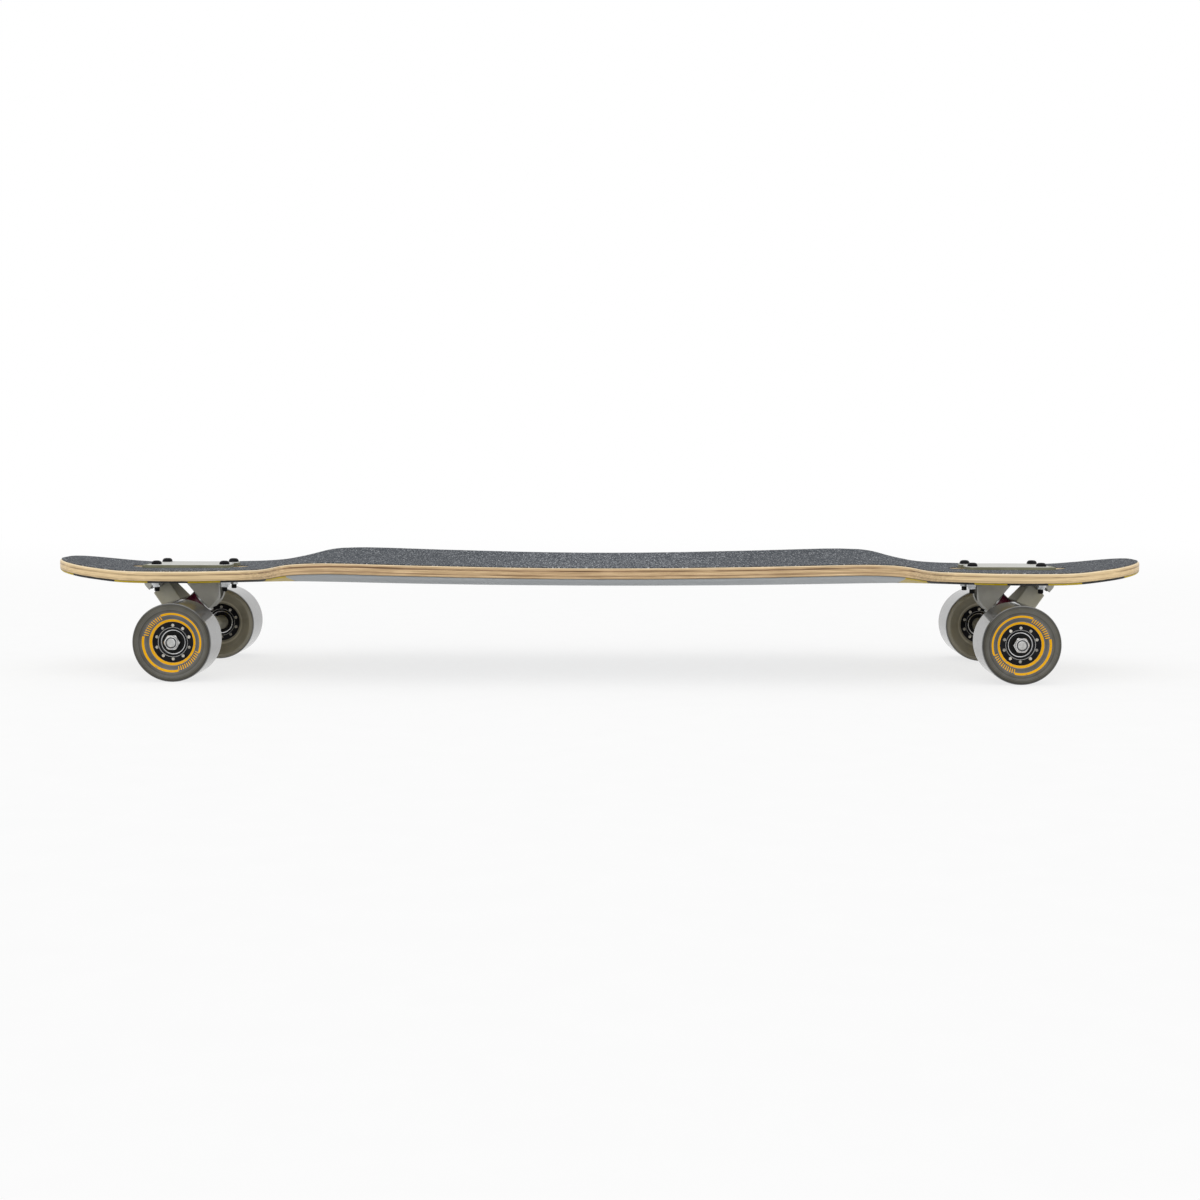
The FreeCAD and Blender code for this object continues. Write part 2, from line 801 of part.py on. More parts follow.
def make_core():
    """Plastic wheel core with a bearing seat at each end and a ring of small blind holes."""
    shoulder = bearing_radius - core_shoulder
    core = turned([
        (bearing_radius, core_inner + hub_recess, 0),
        (hub_radius, core_inner + hub_recess, 0),
        (hub_radius + hub_bevel, core_inner, 0),
        (core_radius, core_inner, 0),
        (core_radius, core_outer, 0),
        (hub_radius + hub_bevel, core_outer, 0),
        (hub_radius, core_outer - hub_recess, 0),
        (bearing_radius, core_outer - hub_recess, 0),
        (bearing_radius, outer_bearing_at, 0),
        (shoulder, outer_bearing_at, 0),
        (shoulder, spacer_at, 0),
        (bearing_radius, spacer_at, 0),
    ])
    outer_holes = ring_places(key_hole_count, key_hole_circle, core_outer - key_hole_depth)
    inner_holes = ring_places(key_hole_count, key_hole_circle, core_inner - 1)
    places = outer_holes + inner_holes
    return core.cut([rod(key_hole_radius, 0, key_hole_depth + 1, AXIS_Y, place) for place in places])


def make_outer_rings():
    """Outer rings of the wheel's two bearings, pressed into the core, with a step for each shield."""
    step = shield_inset + shield_thickness
    rings = []
    for start in (inner_bearing_at, outer_bearing_at):
        end = start + bearing_width
        ring = tube(bearing_radius, outer_ring_bore, start, end, AXIS_Y)
        low_step = rod(shield_radius, start - 1, start + step, AXIS_Y)
        high_step = rod(shield_radius, end - step, end + 1, AXIS_Y)
        rings.append(ring.cut([ball_groove(start + bearing_width / 2), low_step, high_step]))
    return Part.makeCompound(rings)


def make_shields():
    """Shields that close both sides of the wheel's two bearings."""
    shields = []
    for start in (inner_bearing_at, outer_bearing_at):
        for low in (start + shield_inset, start + bearing_width - shield_inset - shield_thickness):
            inner = inner_ring_radius + shield_gap
            shields.append(tube(shield_radius, inner, low, low + shield_thickness, AXIS_Y))
    return Part.makeCompound(shields)


def make_balls():
    """Balls of the wheel's two bearings."""
    balls = []
    for start in (inner_bearing_at, outer_bearing_at):
        for place in ring_places(ball_count, ball_circle, start + bearing_width / 2):
            balls.append(Part.makeSphere(ball_radius, place))
    return Part.makeCompound(balls)


def make_cages():
    """Crown-shaped rings with pockets that keep the bearing balls apart."""
    outer = ball_circle + cage_half_depth
    inner = ball_circle - cage_half_depth
    cage_high = bearing_width / 2 - shield_inset - shield_thickness - cage_gap
    cages = []
    for start in (inner_bearing_at, outer_bearing_at):
        middle = start + bearing_width / 2
        cage = tube(outer, inner, middle - cage_low, middle + cage_high, AXIS_Y)
        hub = Vector(0, middle, 0)
        spokes = ring_places(ball_count, 1, 0)
        cages.append(cage.cut([rod(groove_radius, inner - 1, outer + 1, spoke, hub) for spoke in spokes]))
    return Part.makeCompound(cages)


# Assembly

def truck_nodes():
    """Pieces of one truck, in a truck frame."""
    return {
        "baseplate": make_baseplate(),
        "pivot_cup": make_pivot_cup(),
        "kingpin": make_kingpin(),
        "kingpin_nut": make_kingpin_nut(),
        "flat_washer": make_flat_washer(),
        "cup_washer": make_cup_washer(),
        "board_bushing": make_bushing(-seat_offset + flat_washer_thickness),
        "road_bushing": make_bushing(ring_half),
        "mounting_bolts": make_mounting_bolts(),
        "mounting_washers": make_mounting_washers(),
        "mounting_nuts": make_mounting_nuts(),
        "hanger": make_hanger(),
        "axle": make_axle(),
        "speed_washers": make_speed_washers(),
        "bearing_spacers": make_spacers(),
        "bearing_inner_rings": make_inner_rings(),
        "axle_nuts": make_axle_nuts(),
    }


def wheel_nodes():
    """Pieces of one wheel, about the Y axis on its +Y side."""
    return {
        "tyre": make_tyre(),
        "core": make_core(),
        "bearing_outer_rings": make_outer_rings(),
        "bearing_shields": make_shields(),
        "bearing_balls": make_balls(),
        "bearing_cages": make_cages(),
    }


def make_board():
    """Every node of the board, named, in its place."""
    nodes = {"deck": make_deck(), "grip_tape": make_grip()}
    truck = truck_nodes()
    wheel = wheel_nodes()
    side_turns = {"left": 0, "right": 180}
    for end, frame in truck_frames.items():
        for name, shape in truck.items():
            nodes[end + "_" + name] = placed(shape, frame)
        for side, turn in side_turns.items():
            wheel_frame = Placement(Vector(frame.Base.x, 0, axle_height), Rotation(AXIS_Z, turn))
            for name, shape in wheel.items():
                nodes[end + "_" + side + "_" + name] = placed(shape, wheel_frame)
    return nodes


os.makedirs("parts", exist_ok=True)
for node, shape in make_board().items():
    shape.exportStep("parts/" + node + ".step")
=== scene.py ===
import json
import math
import bpy
from mathutils import Matrix, Vector


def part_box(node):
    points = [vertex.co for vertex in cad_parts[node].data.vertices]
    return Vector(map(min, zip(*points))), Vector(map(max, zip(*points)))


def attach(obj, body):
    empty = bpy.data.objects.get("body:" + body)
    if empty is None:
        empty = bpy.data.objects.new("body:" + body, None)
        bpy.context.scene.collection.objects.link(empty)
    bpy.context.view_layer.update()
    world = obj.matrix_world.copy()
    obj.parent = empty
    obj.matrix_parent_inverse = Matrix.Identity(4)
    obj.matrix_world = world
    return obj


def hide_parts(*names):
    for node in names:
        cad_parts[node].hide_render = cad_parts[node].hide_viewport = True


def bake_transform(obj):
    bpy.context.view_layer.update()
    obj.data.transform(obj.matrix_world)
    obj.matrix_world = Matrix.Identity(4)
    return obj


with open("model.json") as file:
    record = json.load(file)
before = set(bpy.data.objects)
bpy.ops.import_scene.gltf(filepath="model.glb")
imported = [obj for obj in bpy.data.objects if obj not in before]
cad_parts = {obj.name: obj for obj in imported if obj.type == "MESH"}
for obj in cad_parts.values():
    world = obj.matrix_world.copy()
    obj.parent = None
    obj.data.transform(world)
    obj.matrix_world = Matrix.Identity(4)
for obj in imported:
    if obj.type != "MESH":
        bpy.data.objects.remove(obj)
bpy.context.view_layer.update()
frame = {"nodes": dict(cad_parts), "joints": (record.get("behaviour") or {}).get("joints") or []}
scene = bpy.context.scene

# Metres in the row frame: +X to the front end, +Y to the left side, +Z up

MM = 0.001
ENDS = {"front": 1, "rear": -1}
SIDES = {"left": 1, "right": -1}
STEER_ANGLE = math.radians(50)
KINGPIN_ALONG = 20.5 * MM

steer = next(joint for joint in frame["joints"] if joint["name"] == "front_steer")
HALF_BASE, _, AXLE_HEIGHT = steer["pos_m"]
WHEEL_RADIUS = AXLE_HEIGHT
DECK_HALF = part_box("deck")[1][0]
FLANGE_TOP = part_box("front_baseplate")[1][2]
AXLE_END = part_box("front_axle")[1][1]
TYRE_INNER, TYRE_OUTER = (corner[1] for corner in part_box("front_left_tyre"))
CORE_INNER, CORE_OUTER = (corner[1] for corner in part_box("front_left_core"))


# Node helpers

NOISE_SPAN = (0.3, 0.7)
NOISE_MIDDLE = 0.5
MIX_COLOR_INPUTS = (6, 7)
MIX_COLOR_OUTPUT = 2


class Nodes:
    """A node tree and short ways to add and link its nodes."""

    def __init__(self, owner):
        owner.use_nodes = True
        self.tree = owner.node_tree

    def add(self, kind, settings=None, **inputs):
        """New node; an underscore in an input's name stands for a space."""
        node = self.tree.nodes.new(kind)
        for key, value in (settings or {}).items():
            setattr(node, key, value)
        for key, value in inputs.items():
            self.feed(node.inputs[key.replace("_", " ")], value)
        return node

    def feed(self, socket, value):
        if isinstance(value, bpy.types.NodeSocket):
            self.tree.links.new(value, socket)
        else:
            socket.default_value = value

    def math(self, operation, *values):
        node = self.add("ShaderNodeMath", {"operation": operation})
        for socket, value in zip(node.inputs, values):
            self.feed(socket, value)
        return node.outputs[0]

    def plus(self, first, second):
        return self.math("ADD", first, second)

    def minus(self, first, second):
        return self.math("SUBTRACT", first, second)

    def times(self, first, second):
        return self.math("MULTIPLY", first, second)

    def times_plus(self, first, second, third):
        return self.math("MULTIPLY_ADD", first, second, third)

    def over(self, first, second):
        return self.math("DIVIDE", first, second)

    def rest(self, share):
        return self.minus(1.0, share)

    def blend(self, factor, first, second, output):
        """Mix two shaders into the tree's output."""
        mixed = self.add("ShaderNodeMixShader")
        for socket, value in zip(mixed.inputs, (factor, first.outputs[0], second.outputs[0])):
            self.feed(socket, value)
        self.feed(self.tree.nodes[output].inputs["Surface"], mixed.outputs[0])


class Shader(Nodes):
    """A new material, with masks and patterns from places in the row frame."""

    def __init__(self, name):
        self.material = bpy.data.materials.new(name)
        super().__init__(self.material)
        self.bsdf = self.tree.nodes["Principled BSDF"]
        self.coords = self.add("ShaderNodeTexCoord").outputs["Object"]
        split = self.add("ShaderNodeSeparateXYZ", Vector=self.coords)
        self.x, self.y, self.z = split.outputs

    def along(self):
        """Distance from the board's middle, along it."""
        return self.math("ABSOLUTE", self.x)

    def across(self):
        """Distance from the board's middle, across it."""
        return self.math("ABSOLUTE", self.y)

    def from_axle(self):
        """Distances outward and up from the nearer axle."""
        return self.minus(self.along(), HALF_BASE), self.minus(self.z, AXLE_HEIGHT)

    def radius(self):
        """Distance from the nearer axle's line."""
        out, up = self.from_axle()
        return self.math("SQRT", self.times_plus(out, out, self.times(up, up)))

    def step(self, value, low, high, kind="SMOOTHSTEP"):
        """Share that goes from 0 at low to 1 at high."""
        node = self.add("ShaderNodeMapRange", {"interpolation_type": kind},
                        Value=value, From_Min=low, From_Max=high)
        return node.outputs[0]

    def past(self, value, place, soft):
        return self.step(value, place - soft, place + soft)

    def band(self, value, low, high, soft):
        return self.minus(self.past(value, low, soft), self.past(value, high, soft))

    def spread(self, share, low, high):
        """Number that goes from low to high with a share from 0 to 1."""
        return self.add("ShaderNodeMapRange", Value=share, To_Min=low, To_Max=high).outputs[0]

    def noise(self, scale, detail=3.0, rough=0.55, vector=None):
        node = self.add("ShaderNodeTexNoise", Scale=scale, Detail=detail, Roughness=rough)
        self.feed(node.inputs["Vector"], vector or self.coords)
        return node.outputs[0]

    def streaks(self, scales, detail, rough):
        """Noise with a scale of its own along each axis."""
        stretch = self.add("ShaderNodeVectorMath", {"operation": "MULTIPLY"})
        self.feed(stretch.inputs[0], self.coords)
        self.feed(stretch.inputs[1], scales)
        return self.noise(1.0, detail, rough, stretch.outputs[0])

    def swing(self, noise):
        """Noise that goes as far below zero as above it."""
        return self.minus(noise, NOISE_MIDDLE)

    def cells(self, scale):
        node = self.add("ShaderNodeTexVoronoi", Scale=scale, Vector=self.coords)
        return node.outputs["Distance"], node.outputs["Color"]

    def ramp(self, value, stops):
        node = self.add("ShaderNodeValToRGB", Fac=value)
        elements = node.color_ramp.elements
        while len(elements) < len(stops):
            elements.new(0.5)
        for element, (place, color) in zip(elements, stops):
            element.position = place
            element.color = (*color, 1)
        return node.outputs["Color"]

    def tones(self, noise, low, high):
        """Colour between two tones, over the range that noise mostly keeps to."""
        return self.ramp(noise, list(zip(NOISE_SPAN, (low, high))))

    def mix(self, factor, first, second):
        node = self.add("ShaderNodeMix", {"data_type": "RGBA"})
        self.feed(node.inputs[0], factor)
        for index, color in zip(MIX_COLOR_INPUTS, (first, second)):
            self.feed(node.inputs[index], (*color, 1) if isinstance(color, tuple) else color)
        return node.outputs[MIX_COLOR_OUTPUT]

    def bump(self, height, strength, distance):
        node = self.add("ShaderNodeBump", Strength=strength, Distance=distance, Height=height)
        self.feed(self.bsdf.inputs["Normal"], node.outputs[0])

    def set(self, **inputs):
        for key, value in inputs.items():
            self.feed(self.bsdf.inputs[key.replace("_", " ")], value)
        return self.material


# Deck: depth below its pressed top

PAD_LEVEL = 95.2 * MM
DECK_THICKNESS = 10.6 * MM
ROCKER_DEPTH = 4.6 * MM
BEND_START = 278 * MM
PAD_START = 335 * MM
CONCAVE_RADIUS = 640 * MM
CONCAVE_FADE = (209 * MM, 395 * MM)
KICK_START = 426 * MM
KICK_HEIGHT = 8.9 * MM
KICK_POWER = 1.5


def rocker_rise(shader, along):
    """Share of the rise from the middle to the truck pads: two parabolas that meet at the bend."""
    inner = shader.times(along, shader.over(along, BEND_START * PAD_START))
    short = shader.math("MAXIMUM", shader.minus(PAD_START, along), 0.0)
    run = (PAD_START - BEND_START) * PAD_START
    outer = shader.rest(shader.times(short, shader.over(short, run)))
    beyond = shader.math("GREATER_THAN", along, BEND_START)
    return shader.times_plus(beyond, shader.minus(outer, inner), inner)


def deck_depth(shader):
    """Depth below the pressed top, as a node value in metres."""
    along = shader.along()
    centre = shader.times_plus(rocker_rise(shader, along), ROCKER_DEPTH, PAD_LEVEL - ROCKER_DEPTH)
    flat = shader.step(along, *CONCAVE_FADE, "SMOOTHERSTEP")
    concave = shader.times(shader.y, shader.over(shader.y, 2 * CONCAVE_RADIUS))
    run = shader.step(along, KICK_START, DECK_HALF, "LINEAR")
    kick = shader.times(shader.math("POWER", run, KICK_POWER), KICK_HEIGHT)
    top = shader.plus(shader.times_plus(concave, shader.rest(flat), centre), kick)
    return shader.minus(top, shader.z)


# Deck: painted underside

PAINTED_ENDS = 270 * MM
PAINTED_ENDS_EDGE = 0.5 * MM
BLOCK_PITCH = 66 * MM
BLOCK_SLANT = 0.35
BLOCK_START = (0.55, 0.56)
SIDE_LINE = (40 * MM, 46 * MM)
SIDE_LINE_EDGE = 0.4 * MM
PLATFORM_PAINT = [(0.3, (0.25, 0.275, 0.29)), (0.55, (0.345, 0.37, 0.385)), (0.75, (0.42, 0.445, 0.46))]
LINE_PAINT = (0.20, 0.21, 0.22)
YELLOW_PAINT = ((0.42, 0.29, 0.0), (0.56, 0.40, 0.004))
BLACK_PAINT = ((0.002, 0.002, 0.003), (0.007, 0.007, 0.008))


def underside_color(shader):
    """Generic painted underside: pale platform, dark ends with slanted yellow blocks."""
    along = shader.along()
    across = shader.across()
    middle = shader.ramp(shader.streaks(scales=(3, 26, 26), detail=4.0, rough=0.6), PLATFORM_PAINT)
    middle = shader.mix(shader.band(across, *SIDE_LINE, SIDE_LINE_EDGE), middle, LINE_PAINT)
    slant = shader.times_plus(across, BLOCK_SLANT, along)
    place = shader.math("FRACT", shader.over(slant, BLOCK_PITCH))
    speck = shader.noise(scale=300.0)
    yellow = shader.tones(speck, *YELLOW_PAINT)
    ends = shader.mix(shader.step(place, *BLOCK_START), shader.tones(speck, *BLACK_PAINT), yellow)
    return shader.mix(shader.past(along, PAINTED_ENDS, PAINTED_ENDS_EDGE), middle, ends)


PAINT_DEPTH = 9.8 * MM
PAINT_EDGE = 0.1 * MM
PAINT_RAGGED = 0.4 * MM
# Painted shade: a dark line along the paint's edge, where the deck's rounded bottom edge turns into shade
RIM_SHADE_ABOVE = 0.35 * MM
RIM_SHADE_BELOW = 0.25 * MM
RIM_SHADE_SHARE = 0.75
RIM_SHADE_DARK = (0.05, 0.045, 0.04)
TRUCK_CLIMB = 1.0 * MM
TRUCK_CLIMB_SPAN = (250 * MM, 320 * MM)
TIP_CLIMB = 0.3 * MM
TIP_CLIMB_SPAN = (360 * MM, 450 * MM)


def paint_reach(shader, depth):
    """Depth, made ragged and greater toward the trucks and the tips, where the paint climbs."""
    along = shader.along()
    ragged = shader.times(shader.swing(shader.noise(scale=160.0, detail=2.0)), PAINT_RAGGED)
    climb = shader.times(shader.step(along, *TRUCK_CLIMB_SPAN), TRUCK_CLIMB)
    climb = shader.times_plus(shader.step(along, *TIP_CLIMB_SPAN), TIP_CLIMB, climb)
    return shader.plus(shader.plus(depth, climb), ragged)


# Deck: plies on the edge, placed by shares of the thickness from the top

PLY_WANDER = 0.09
DARK_PLY = (0.225, 0.365)
DARK_PLY_SHARE = 0.85
LOWER_PLY = (0.605, 0.745)
LOWER_PLY_SHARE = 0.55
PLY_EDGE = 0.04
FINE_SEAMS = ((0.12, 0.135), (0.49, 0.505))
FINE_SEAM_SHARE = 0.55
LOW_SEAM = (0.87, 0.885)
SEAM_EDGE = 0.012
SEAM_SHARE = 0.65
# Painted highlight: a pale band along the top of the cut edge, where the rounded edge catches light
CREST_HIGHLIGHT = (0.04, 0.12)
CREST_HIGHLIGHT_SHARE = 0.6
STAIN_SPAN = (0.32, 0.60)
STAIN_LEAST = 0.3
# Painted light along the cut edge: paler toward the board's ends, darker in the middle as painted shade
LIT_ENDS = (220 * MM, 360 * MM)
LIT_ENDS_DARK_PLY = 0.75
LIT_ENDS_GAIN = 1.2
PALE_SHARE = 0.33
LIGHT_WOOD = [(0.30, (0.20, 0.108, 0.048)), (0.48, (0.42, 0.268, 0.142)), (0.66, (0.72, 0.52, 0.31))]
DARK_WOOD = [(0.30, (0.036, 0.011, 0.005)), (0.48, (0.085, 0.031, 0.014)), (0.66, (0.21, 0.095, 0.046))]
PALE_WOOD = (0.88, 0.70, 0.40)
CREST_HIGHLIGHT_WOOD = (0.92, 0.78, 0.55)
GLUE_BROWN = (0.15, 0.065, 0.022)


def ply_seams(shader, level):
    """Mask of the glue lines between the plies."""
    first, second = (shader.band(level, *seam, SEAM_EDGE) for seam in FINE_SEAMS)
    fine = shader.times(shader.plus(first, second), FINE_SEAM_SHARE)
    return shader.plus(fine, shader.band(level, *LOW_SEAM, SEAM_EDGE))


def ply_wood(shader, level, grain, seams):
    """Colour of the cut plies: two dark ones among light ones, paler toward the board's ends as painted
    light, which leaves painted shade on the middle of the edge.
    """
    stain = shader.step(shader.streaks(scales=(13, 40, 420), detail=4.0, rough=0.65), *STAIN_SPAN)
    # ends: mask of the painted light toward the board's ends
    ends = shader.step(shader.along(), *LIT_ENDS)
    lower = shader.times(shader.band(level, *LOWER_PLY, PLY_EDGE), LOWER_PLY_SHARE)
    dark = shader.times_plus(shader.band(level, *DARK_PLY, PLY_EDGE), DARK_PLY_SHARE, lower)
    # dark plies lighter toward the ends: part of the painted light
    dark = shader.times(dark, shader.spread(ends, 1.0, LIT_ENDS_DARK_PLY))
    dark = shader.times(dark, shader.spread(stain, STAIN_LEAST, 1.0))
    wood = shader.mix(dark, shader.ramp(grain, LIGHT_WOOD), shader.ramp(grain, DARK_WOOD))
    wood = shader.mix(shader.times(seams, SEAM_SHARE), wood, GLUE_BROWN)
    # random pale tone of the wood, plus the painted light toward the ends
    tone_and_lit_ends = shader.times_plus(ends, LIT_ENDS_GAIN, shader.noise(scale=7.0, detail=1.0))
    pale = shader.times(shader.rest(dark), shader.times(tone_and_lit_ends, PALE_SHARE))
    wood = shader.mix(pale, wood, PALE_WOOD)
    # painted highlight along the top of the edge
    crest_highlight = shader.spread(shader.step(level, *CREST_HIGHLIGHT), CREST_HIGHLIGHT_SHARE, 0.0)
    return shader.mix(crest_highlight, wood, CREST_HIGHLIGHT_WOOD)


def make_ply():
    shader = Shader("maple_ply")
    depth = deck_depth(shader)
    wander = shader.swing(shader.streaks(scales=(16, 16, 90), detail=3.0, rough=0.6))
    level = shader.times_plus(wander, PLY_WANDER, shader.over(depth, DECK_THICKNESS))
    grain = shader.streaks(scales=(26, 300, 1200), detail=6.0, rough=0.68)
    seams = ply_seams(shader, level)
    reach = paint_reach(shader, depth)
    painted = shader.past(reach, PAINT_DEPTH, PAINT_EDGE)
    # painted shade line along the paint's edge
    rim_shade_line = shader.band(reach, PAINT_DEPTH - RIM_SHADE_ABOVE, PAINT_DEPTH + RIM_SHADE_BELOW, PAINT_EDGE)
    color = shader.mix(painted, ply_wood(shader, level, grain, seams), underside_color(shader))
    color = shader.mix(shader.times(rim_shade_line, RIM_SHADE_SHARE), color, RIM_SHADE_DARK)
    shader.bump(shader.plus(grain, seams), strength=0.3, distance=0.3 * MM)
    return shader.set(Base_Color=color, Roughness=shader.spread(grain, 0.32, 0.52), Specular_IOR_Level=0.2,
                      Coat_Weight=shader.spread(painted, 0.12, 0.02), Coat_Roughness=0.2)


# Grip sheet

# Grit tones: dark grains, with the brightest ones a painted glint
GRIT_AND_GLINT_TONES = [(0.1, (0.010, 0.012, 0.016)), (0.45, (0.060, 0.070, 0.085)),
              (0.7, (0.13, 0.145, 0.165)), (0.92, (0.80, 0.82, 0.85))]
BINDER_DARK = (0.03, 0.035, 0.043)
BINDER_SHARE = 0.3
DUST_GREY = (0.085, 0.095, 0.11)
DUST_SHARE = 0.2
# Painted light on the grip: darker away from the middle and more toward the tips, painted shade that
# leaves a painted reflection on the middle
FALLOFF_DARK = (0.02, 0.025, 0.03)
SHEEN_FALLOFF_SPAN = (30 * MM, 170 * MM)
SHEEN_FALLOFF_SHARE = 0.28
TIP_FALLOFF_SPAN = (340 * MM, 460 * MM)
TIP_FALLOFF_SHARE = 0.12
FINE_RELIEF = 0.5


def make_grip():
    shader = Shader("grip")
    along = shader.along()
    gap, tint = shader.cells(scale=1000.0)
    fine = shader.noise(scale=1500.0, detail=2.0, rough=0.7)
    color = shader.mix(shader.times(fine, BINDER_SHARE), shader.ramp(tint, GRIT_AND_GLINT_TONES), BINDER_DARK)
    color = shader.mix(shader.times(shader.noise(scale=9.0), DUST_SHARE), color, DUST_GREY)
    # painted shade away from the middle, so the middle keeps a painted reflection
    sheen_falloff = shader.times(shader.step(along, *SHEEN_FALLOFF_SPAN), SHEEN_FALLOFF_SHARE)
    sheen_falloff = shader.times_plus(shader.step(along, *TIP_FALLOFF_SPAN), TIP_FALLOFF_SHARE, sheen_falloff)
    color = shader.mix(sheen_falloff, color, FALLOFF_DARK)
    shader.bump(shader.plus(gap, shader.times(fine, FINE_RELIEF)), strength=0.8, distance=0.7 * MM)
    return shader.set(Base_Color=color, Roughness=shader.spread(fine, 0.55, 0.95), Specular_IOR_Level=0.3)


# Castings: dull under the deck, with a brushed flange on top of it, painted as lit: a painted highlight on
# the flange's top face and painted shade on its side

FLANGE_THICKNESS = 3.0 * MM
FLANGE_SIDE_EDGE = 0.1 * MM
FLANGE_FACE_EDGE = (0.45 * MM, 0.3 * MM)
# Flange tones: painted shade on its side, a painted highlight on its brushed top face
FLANGE_SHADED_SIDE = ((0.20, 0.195, 0.125), (0.28, 0.275, 0.185))
FLANGE_LIT_FACE = [(0.3, (0.44, 0.44, 0.42)), (0.5, (0.54, 0.54, 0.51)), (0.7, (0.62, 0.62, 0.60))]
BASEPLATE_TONES = ((0.33, 0.328, 0.305), (0.42, 0.418, 0.39))
HANGER_TONES = ((0.40, 0.39, 0.325), (0.50, 0.49, 0.425))


def make_cast(name, tones):
    shader = Shader(name)
    grain = shader.noise(scale=900.0, detail=4.0, rough=0.65)
    wash = shader.noise(scale=60.0)
    # brush streaks on the flange's top face, painted bright as lit
    lit_brushed_face = shader.ramp(shader.streaks(scales=(60, 2200, 2200), detail=4.0, rough=0.7), FLANGE_LIT_FACE)
    on_deck = shader.past(shader.z, FLANGE_TOP - FLANGE_THICKNESS, FLANGE_SIDE_EDGE)
    on_top = shader.step(shader.z, *(FLANGE_TOP - edge for edge in FLANGE_FACE_EDGE))
    lit_and_shaded_flange = shader.mix(on_top, shader.tones(wash, *FLANGE_SHADED_SIDE), lit_brushed_face)
    color = shader.mix(on_deck, shader.tones(wash, *tones), lit_and_shaded_flange)
    shader.bump(grain, strength=0.25, distance=0.2 * MM)
    return shader.set(Base_Color=color, Metallic=0.5, Roughness=shader.spread(grain, 0.45, 0.62),
                      Specular_IOR_Level=0.3)


# Steel

PLAIN_WASH = 160.0
FINE_WASH = 300.0
ZINC_TONES = ((0.42, 0.43, 0.43), (0.60, 0.61, 0.60))
NUT_ZINC_TONES = ((0.26, 0.27, 0.28), (0.60, 0.61, 0.62))
BEARING_TONES = ((0.66, 0.66, 0.66), (0.82, 0.82, 0.82))
LOCK_NUT_TONES = ((0.38, 0.38, 0.38), (0.80, 0.80, 0.79))
LOCK_INSERT = (3.9 * MM, 5.0 * MM)
LOCK_INSERT_EDGE = 0.12 * MM
LOCK_INSERT_DARK = (0.03, 0.03, 0.035)
RACE_RIM_START = (10.25 * MM, 10.45 * MM)
RACE_RIM = ((0.66, 0.66, 0.66), (0.84, 0.84, 0.84))
RACE_SHOULDER = ((0.07, 0.07, 0.07), (0.16, 0.16, 0.16))
AXLE_ROD = ((0.50, 0.51, 0.51), (0.70, 0.71, 0.70))
AXLE_CUT = ((0.40, 0.40, 0.39), (0.58, 0.58, 0.57))
AXLE_CUT_EDGE = (0.2 * MM, 0.05 * MM)
BLACK_TONES = ((0.004, 0.004, 0.005), (0.012, 0.012, 0.013))


def steel_marks(shader, wash_scale):
    """Fine tool marks, and a slow change of tone."""
    return shader.streaks(scales=(500, 2500, 500), detail=3.0, rough=0.6), shader.noise(wash_scale)


def finish_steel(shader, color, marks, rough, metallic=1.0, strength=0.12):
    shader.bump(marks, strength, distance=0.1 * MM)
    return shader.set(Base_Color=color, Metallic=metallic, Roughness=shader.spread(marks, *rough))


def make_steel(name, tones, rough):
    shader = Shader(name)
    marks, wash = steel_marks(shader, PLAIN_WASH)
    return finish_steel(shader, shader.tones(wash, *tones), marks, rough)


def make_lock_nut():
    """Zinc nut with a dark locking ring in its outer end."""
    shader = Shader("lock_nut")
    marks, wash = steel_marks(shader, FINE_WASH)
    insert = shader.band(shader.radius(), *LOCK_INSERT, LOCK_INSERT_EDGE)
    color = shader.mix(insert, shader.tones(wash, *LOCK_NUT_TONES), LOCK_INSERT_DARK)
    return finish_steel(shader, color, marks, (0.14, 0.32), shader.rest(insert), strength=0.15)


def make_race():
    """Outer bearing ring: bright on its rim, shaded inside."""
    shader = Shader("outer_race")
    marks, wash = steel_marks(shader, FINE_WASH)
    on_rim = shader.step(shader.radius(), *RACE_RIM_START)
    color = shader.mix(on_rim, shader.tones(wash, *RACE_SHOULDER), shader.tones(wash, *RACE_RIM))
    return finish_steel(shader, color, marks, (0.12, 0.27))


def make_axle():
    """Axle rod with darker cut ends."""
    shader = Shader("axle_steel")
    marks, wash = steel_marks(shader, FINE_WASH)
    on_cut = shader.step(shader.across(), *(AXLE_END - edge for edge in AXLE_CUT_EDGE))
    color = shader.mix(on_cut, shader.tones(wash, *AXLE_ROD), shader.tones(wash, *AXLE_CUT))
    return finish_steel(shader, color, marks, (0.2, 0.38))


def make_black_steel():
    shader = Shader("black_steel")
    grain = shader.noise(scale=1500.0)
    color = shader.tones(shader.noise(scale=200.0), *BLACK_TONES)
    shader.bump(grain, strength=0.15, distance=0.1 * MM)
    return shader.set(Base_Color=color, Roughness=shader.spread(grain, 0.35, 0.5), Specular_IOR_Level=0.08)


# Plastic and rubber

BUSHING_TONES = ((0.055, 0.003, 0.014), (0.095, 0.006, 0.026))
CUP_TONES = ((0.012, 0.012, 0.012), (0.03, 0.03, 0.03))
NYLON_TONES = ((0.40, 0.36, 0.28), (0.52, 0.48, 0.38))
# Plug tones: the pale end is painted light, a glow standing in for light through the translucent plugs
PLUG_GLOW_TONES = ((0.01, 0.009, 0.007), (0.90, 0.86, 0.76))
CORE_TONES = ((0.003, 0.003, 0.004), (0.009, 0.009, 0.011))
